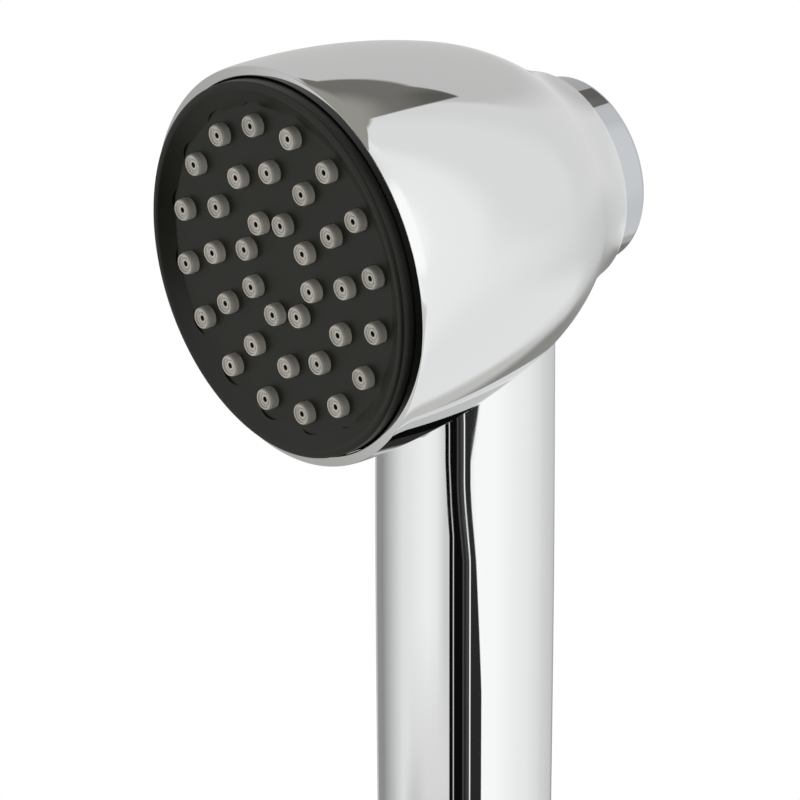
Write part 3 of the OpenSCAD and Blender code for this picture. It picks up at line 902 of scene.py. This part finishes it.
class SPRAYER_OT_button(PieceOperator, bpy.types.Operator):
    """Build the chrome push button"""

    bl_idname = "sprayer.button"
    bl_label = "Push button"

    def execute(self, context):
        s = self.settings(context)
        # the button's darker plating is a painted dark reflection
        place("button_cap", button_mesh(s.head, s.button), "button", "button_chrome",
              chrome("Button chrome painted dark", s.finish, s.finish.cap_painted_dark), "push_button")
        return {"FINISHED"}


class SPRAYER_OT_inlet(PieceOperator, bpy.types.Operator):
    """Build the threaded inlet"""

    bl_idname = "sprayer.inlet"
    bl_label = "Inlet"

    def execute(self, context):
        s = self.settings(context)
        place("inlet", inlet_mesh(s.inlet, s.handle), "sprayer", "inlet_chrome",
              chrome("Inlet chrome", s.finish, haze=0.06), "inlet_connector")
        return {"FINISHED"}


# Each finish and its nodes
INNER_PARTS = {
    "valve_brass": ("valve_body", "gland_nut", "neck_nipple"),
    "seal_rubber": ("shell_gasket", "body_ring", "gland_ring", "stem_seal", "seat_disc",
                    "nipple_ring", "pipe_rings", "connector_ring", "housing_ring", "poppet_ring"),
    "stem_steel": ("seat_ring", "valve_stem", "inlet_screen"),
    "white_plastic": ("flow_spreader", "check_housing"),
    "grey_plastic": ("spray_chamber",),
    "blue_plastic": ("check_poppet",),
    "pipe_plastic": ("water_pipe",),
    "fibre_red": ("neck_washer",),
}

# Each coil: its spring node and the joint that shortens it
COILS = {
    "return_coil": ("return_spring", "button_press"),
    "check_coil": ("check_spring", "poppet_lift"),
}


def coil_mesh(node):
    """The coil's wire as packed, with smooth shading."""
    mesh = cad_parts[node].data.copy()
    mesh.materials.clear()
    mesh.shade_smooth()
    return mesh


def shorten(coil):
    """Gives the coil its own copy of its mesh."""
    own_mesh(coil)


class SPRAYER_OT_inside(PieceOperator, bpy.types.Operator):
    """Finish the valve, the seals, the springs and the other inner parts"""

    bl_idname = "sprayer.inside"
    bl_label = "Inner parts"

    def execute(self, context):
        colours = self.settings(context).finish
        finishes = {
            "valve_brass": turned("Turned brass", colours.brass, 0.24),
            "seal_rubber": moulded("Seal rubber", colours.rubber, 0.5, 2200.0),
            "stem_steel": turned("Turned steel", colours.steel, 0.2),
            "white_plastic": moulded("White plastic", colours.white, 0.42),
            "grey_plastic": moulded("Grey plastic", colours.grey, 0.4),
            "blue_plastic": moulded("Blue plastic", colours.blue, 0.4),
            "pipe_plastic": moulded("Pipe plastic", colours.pipe, 0.36, 1500.0),
            "fibre_red": moulded("Red fibre", colours.fibre, 0.7, 900.0, bump=0.5),
        }
        for slot, names in INNER_PARTS.items():
            for name in names:
                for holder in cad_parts[name].material_slots:
                    holder.material = finishes[slot]
        wire = turned("Drawn spring wire", colours.spring, 0.22, 14000.0)
        for name, (node, joint) in COILS.items():
            coil = place(name, coil_mesh(node), "sprayer", "spring_steel", wire, node)
            shorten(coil)
        return {"FINISHED"}


# ---------------------------------------------------------------- studio

def panel_edge():
    """One straight edge of a light panel: 1 on its inner side, 0 outside, with a soft step."""
    graph, given, out = effect(
        "Panel Edge", {"Place": (0.0, 0.0, 1.0), "Line": (1.0, 0.0, 0.0), "Blur": 1.0}, ("Mask",)
    )
    inward = graph.add(
        "ShaderNodeVectorMath", {0: given["Place"], 1: given["Line"]}, operation="DOT_PRODUCT"
    ).outputs["Value"]
    half = graph.math("MULTIPLY", given["Blur"], 0.5)
    graph.feed(out["Mask"], graph.ramp(inward, graph.math("MULTIPLY", half, -1.0), half))


class Surroundings:
    """Light panels round the object, laid out by azimuth and elevation in degrees.

    Azimuth counts from the camera's own, positive towards its right, from -90 on to 270.
    """

    def __init__(self, graph, azimuth):
        self.graph = graph
        direction = graph.add("ShaderNodeTexCoord").outputs["Generated"]
        x, y, z = graph.add("ShaderNodeSeparateXYZ", {"Vector": direction}).outputs
        across = graph.math("ARCTAN2", x, graph.math("MULTIPLY", y, -1.0))
        across = graph.math("SUBTRACT", across, azimuth)
        across = graph.math("WRAP", across, 1.5 * math.pi, -0.5 * math.pi)
        self.across = graph.math("DEGREES", across)
        self.up = graph.math("DEGREES", graph.math("ARCSINE", z))
        self.place = self.shifted(self.across)
        self.light = None

    def shifted(self, across):
        node = self.graph.add("ShaderNodeCombineXYZ", {"X": across, "Y": self.up, "Z": 1.0})
        return node.outputs[0]

    def horizon(self, stops):
        """Starts with the light round the horizon."""
        node = self.graph.add("ShaderNodeValToRGB")
        self.graph.feed(node.inputs[0], self.graph.ramp(self.across, -90, 270, smooth=False))
        elements = node.color_ramp.elements
        while len(elements) < len(stops):
            elements.new(0.5)
        for element, (angle, value) in zip(elements, stops):
            element.position = (angle + 90) / 360
            element.color = (value, value, value, 1.0)
        self.light = node.outputs[0]

    def panel(self, corners, blurs, place=None):
        """A mask for a convex panel; a blur of None leaves that side open."""
        count = len(corners)
        middle = [sum(corner[i] for corner in corners) / count for i in (0, 1)]
        mask = None
        for i, blur in enumerate(blurs):
            if blur is None:
                continue
            (x0, y0), (x1, y1) = corners[i], corners[(i + 1) % count]
            line = Vector((y0 - y1, x1 - x0, 0.0)) / math.hypot(x1 - x0, y1 - y0)
            line.z = -(line.x * x0 + line.y * y0)
            if line.x * middle[0] + line.y * middle[1] + line.z < 0:
                line = -line
            edge = grouped(
                self.graph, "Panel Edge", Place=place or self.place, Line=tuple(line), Blur=blur
            )["Mask"]
            mask = edge if mask is None else self.graph.math("MULTIPLY", mask, edge)
        return mask

    def oblong(self, left, right, low, high, blurs, place=None):
        """A mask between two azimuths and two elevations; blurs of the low, right, high, left."""
        corners = [(left, low), (right, low), (right, high), (left, high)]
        return self.panel(corners, blurs, place)

    def band(self, left, right, blur, place):
        """A mask for an upright band between two azimuths."""
        return self.oblong(left, right, -90, 90, [None, blur, None, blur], place)

    def hang(self, shade, *masks):
        """Hangs a panel of a shade in front of what is there."""
        mask = masks[0]
        for other in masks[1:]:
            mask = self.graph.math("MULTIPLY", mask, other)
        if not isinstance(shade, bpy.types.NodeSocket):
            shade = (*shade, 1.0)
        self.light = self.graph.mix(mask, self.light, shade)


def studio_world(studio):
    """White behind the object; softboxes and dark gaps between them for its reflections."""
    panel_edge()
    world = bpy.data.worlds.new("Studio")
    bpy.context.scene.world = world
    world.use_nodes = True
    graph = Graph(world.node_tree)
    room = Surroundings(graph, studio.azimuth)
    room.horizon([
        (-90, 0.88), (-50, 1.05), (-37, 0.99), (-25, 0.70), (15, 1.16), (40, 1.15), (65, 1.04),
        (87, 0.98), (110, 0.86), (120, 0.78), (145, 0.67), (158, 0.60), (172, 0.48),
        (195, 0.70), (203, 0.31), (226, 0.31), (242, 0.50), (270, 0.88),
    ])
    room.hang((1.18, 1.18, 1.18), room.oblong(46, 76, -2, 42, [8, 6, 14, 12]))
    # the front softbox fades upwards, and the side wall is paler above and below the horizon
    room.hang((0.90, 0.90, 0.89), room.oblong(15, 82, 42, 64, [16, 30, None, 12]))
    room.hang((0.72, 0.72, 0.71), room.oblong(-5, 76, -90, -17, [None, 5, 4, None]))
    room.hang((0.79, 0.79, 0.785), room.oblong(105, 195, -2, 80, [10, 20, None, 30]))
    room.hang((0.90, 0.90, 0.90), room.oblong(95, 141, -60, -18, [None, 16, 10, 20]))
    room.hang((0.85, 0.86, 0.86), room.oblong(92, 118, 2, 62, [20, 14, None, 10]))
    # low grey boards behind
    board = graph.math(
        "MULTIPLY",
        room.panel([(127, -41), (139, -32), (190, -32), (190, -60)], [5, None, 10, None]),
        room.panel([(139, -32), (147, -10), (190, -10), (190, -60)], [8, 6, None, None]),
    )
    room.hang((0.60, 0.595, 0.57), board)
    room.hang((0.48, 0.475, 0.455), board, room.oblong(152, 230, -38, -6, [10, None, None, 10]))
    room.hang((0.28, 0.275, 0.26),
              room.panel([(150, -20), (175, -6), (190, -6), (190, -60), (150, -60)],
                         [12, None, 6, None, 9]))
    # grey ground at the left, dark ground on the camera's side
    room.hang((0.83, 0.83, 0.82), room.oblong(-78, -22, -30, -13, [None, 3, 2.4, 12]))
    room.hang((0.465, 0.46, 0.44), room.oblong(225, 256, -70, -14.5, [None, 3.5, 2.4, 20]))
    room.hang((0.38, 0.38, 0.36), room.oblong(-85, -60, -70, -14.5, [None, 20, 2.4, 10]))
    room.hang((0.035, 0.035, 0.033),
              room.panel([(-72, -70), (30, -70), (0, -17), (-3, -15.5), (-72, -15.5)],
                         [None, 10, None, 3, 20]))
    # grey panel behind, and the dark gap between it and the softboxes over it
    room.hang((0.61, 0.61, 0.60),
              room.panel([(132, 38), (184, -4), (215, -4), (215, 52), (132, 52)],
                         [13, 10, 20, None, 4]))
    lower = graph.math(
        "MAXIMUM",
        room.panel([(136.5, 45.7), (147, 49.6), (147, 80), (136.5, 80)], [1.0, None, None, None]),
        room.oblong(120, 230, 50.2, 90, [1.5, None, None, None]),
    )
    gap = room.panel([(119, 62.5), (136.5, 46), (230, 46), (230, 90)], [1.2, None, None, None])
    gap = graph.math("MULTIPLY", gap, lower)
    gap = graph.math("MULTIPLY", gap, room.oblong(100, 183, 40, 90, [None, 6, None, None]))
    roof = room.oblong(-60, 119, 61, 90, [1.0, None, None, None])
    dark = graph.math("MAXIMUM", gap, roof)
    low_shade, high_shade = (0.19, 0.18, 0.165, 1.0), (0.35, 0.34, 0.31, 1.0)
    room.hang(graph.mix(graph.ramp(room.up, 56.5, 63.0), low_shade, high_shade), dark)
    room.hang((0.115, 0.115, 0.10), dark, room.oblong(126, 143, 40, 53, [None, 9, 7, None]))

    # dark slot at the camera, with thin lines of light in it; it leans, and flares at both ends
    def leaning(start, end, angle):
        return graph.ramp(room.up, start, end, 0.0, angle, smooth=False)

    left = room.shifted(graph.math("ADD", room.across, leaning(-10.8, -9.85, 5.3)))
    lean = graph.math("ADD", room.across, leaning(-11.2, -10.1, 7.5))
    line = room.shifted(lean)
    flared = graph.math("SUBTRACT", lean, leaning(-9.85, -9.2, 13.0))
    right = room.shifted(graph.math("SUBTRACT", flared, leaning(-11.2, -13.1, 7.5)))
    below = room.oblong(-90, 90, -90, 64, [None, None, 4, None])
    lit = room.oblong(-90, 90, -15, 64, [2, None, 4, None])
    slot = graph.math(
        "MULTIPLY",
        room.oblong(-20.5, 90, -90, 90, [None, None, None, 0.6], left),
        room.oblong(-90, 13.8, -90, 90, [None, 1.2, None, None], right),
    )
    room.hang((0.004, 0.004, 0.004), slot, below)
    room.hang((0.70, 0.70, 0.70), room.band(-15.8, -14.6, 0.8, left), lit)
    room.hang((0.026, 0.026, 0.026), room.band(-3.2, 21.0, 1.0, line), slot, lit)
    room.hang((0.075, 0.075, 0.075), room.band(-3.3, -1.6, 0.8, line), slot, lit)
    room.hang((0.06, 0.06, 0.06), room.band(1.4, 7.6, 1.2, line), slot, lit)
    room.hang((1.20, 1.20, 1.20), room.band(5.5, 6.8, 0.8, line), lit)

    path = graph.add("ShaderNodeLightPath").outputs
    colour = graph.mix(path["Is Diffuse Ray"], room.light, rgba(studio.ambient))
    colour = graph.mix(path["Is Camera Ray"], colour, rgba(studio.backdrop))
    backing = graph.add("ShaderNodeBackground", {"Color": colour, "Strength": 1.0})
    graph.add("ShaderNodeOutputWorld", {"Surface": backing.outputs[0]})


def studio_floor(studio):
    """A round pale floor that fades out into the backdrop."""
    solid, edge = 140 * MM, 330 * MM
    shape = bmesh.new()
    bmesh.ops.create_circle(shape, cap_ends=True, segments=96, radius=edge)
    mesh = bpy.data.meshes.new("floor")
    shape.to_mesh(mesh)
    shape.free()
    material, graph, shader = surface("Studio floor", studio.floor, 0.0, 0.9)
    where = graph.add("ShaderNodeTexCoord").outputs["Object"]
    reach = graph.add("ShaderNodeVectorMath", {"Vector": where}, operation="LENGTH")
    graph.feed(shader["Alpha"], graph.ramp(reach.outputs["Value"], edge, solid))
    mesh.materials.append(material)
    floor = bpy.data.objects.new("floor", mesh)
    floor.visible_glossy = False          # the plating mirrors the studio's panels instead
    bpy.context.scene.collection.objects.link(floor)


def towards(azimuth, elevation):
    """The direction from the object to an azimuth and elevation, both in radians."""
    level = math.cos(elevation)
    return Vector((math.sin(azimuth) * level, -math.cos(azimuth) * level, math.sin(elevation)))


def soft_lamp(name, energy, size, azimuth, elevation, reach=1.2):
    """A soft lamp aimed under the head, that mirrors don't show."""
    target = Vector((0, -20 * MM, 130 * MM))
    lamp = bpy.data.lights.new(name, "AREA")
    lamp.shape, lamp.size, lamp.energy = "DISK", size, energy
    holder = bpy.data.objects.new(name, lamp)
    back = towards(math.radians(azimuth), math.radians(elevation))
    holder.location = target + back * reach
    holder.rotation_euler = back.to_track_quat("Z", "Y").to_euler()
    holder.visible_glossy = False
    bpy.context.scene.collection.objects.link(holder)


class SPRAYER_OT_stage(PieceOperator, bpy.types.Operator):
    """Build the floor, the studio light and the camera"""

    bl_idname = "sprayer.stage"
    bl_label = "Studio"

    def execute(self, context):
        s = self.settings(context)
        studio = s.studio
        context.scene.view_settings.view_transform = "Standard"
        studio_world(studio)
        studio_floor(studio)
        soft_lamp("key", 5.5, 0.5, 25, -16)
        soft_lamp("front", 7.8, 0.7, -25, -5)
        soft_lamp("top", 9.5, 1.0, 200, 75)

        aim_right, aim_down = 18.970 * MM, 19.376 * MM      # seen from the nozzle tips' middle
        right = Vector((math.cos(studio.azimuth), math.sin(studio.azimuth), 0))
        back = towards(studio.azimuth, studio.elevation)
        up = back.cross(right)
        tips = head_frame(s.head) @ Vector((0, 0, 0))
        aim = tips + right * aim_right - up * aim_down
        lens = bpy.data.cameras.new("camera")
        lens.lens, lens.sensor_width, lens.clip_start = studio.lens, 36.0, 10 * MM
        camera = bpy.data.objects.new("camera", lens)
        camera.matrix_world = Matrix.Translation(aim + back * studio.distance) @ Matrix(
            (right, up, back)
        ).transposed().to_4x4()
        context.scene.collection.objects.link(camera)
        context.scene.camera = camera
        return {"FINISHED"}


STEPS = (
    SPRAYER_OT_effects, SPRAYER_OT_head, SPRAYER_OT_handle, SPRAYER_OT_face, SPRAYER_OT_nozzles,
    SPRAYER_OT_button, SPRAYER_OT_inlet, SPRAYER_OT_inside, SPRAYER_OT_stage,
)


class SPRAYER_PT_panel(bpy.types.Panel):
    """Lists the sprayer's pieces in the sidebar"""

    bl_idname = "SPRAYER_PT_panel"
    bl_label = "Handheld Bath Sprayer"
    bl_space_type = "VIEW_3D"
    bl_region_type = "UI"
    bl_category = "Sprayer"

    def draw(self, context):
        for step in STEPS:
            self.layout.operator(step.bl_idname)


GROUPS = (
    SprayerHead, SprayerFace, SprayerButton, SprayerHandle, SprayerInlet, SprayerFinish,
    SprayerStudio, Sprayer,
)


def register():
    for item in (*GROUPS, *STEPS, SPRAYER_PT_panel):
        bpy.utils.register_class(item)
    bpy.types.Scene.sprayer = PointerProperty(type=Sprayer)


def unregister():
    del bpy.types.Scene.sprayer
    for item in reversed((*GROUPS, *STEPS, SPRAYER_PT_panel)):
        bpy.utils.unregister_class(item)


def main():
    register()
    for step in STEPS:
        area, name = step.bl_idname.split(".")
        getattr(getattr(bpy.ops, area), name)()


if __name__ == "__main__":
    main()
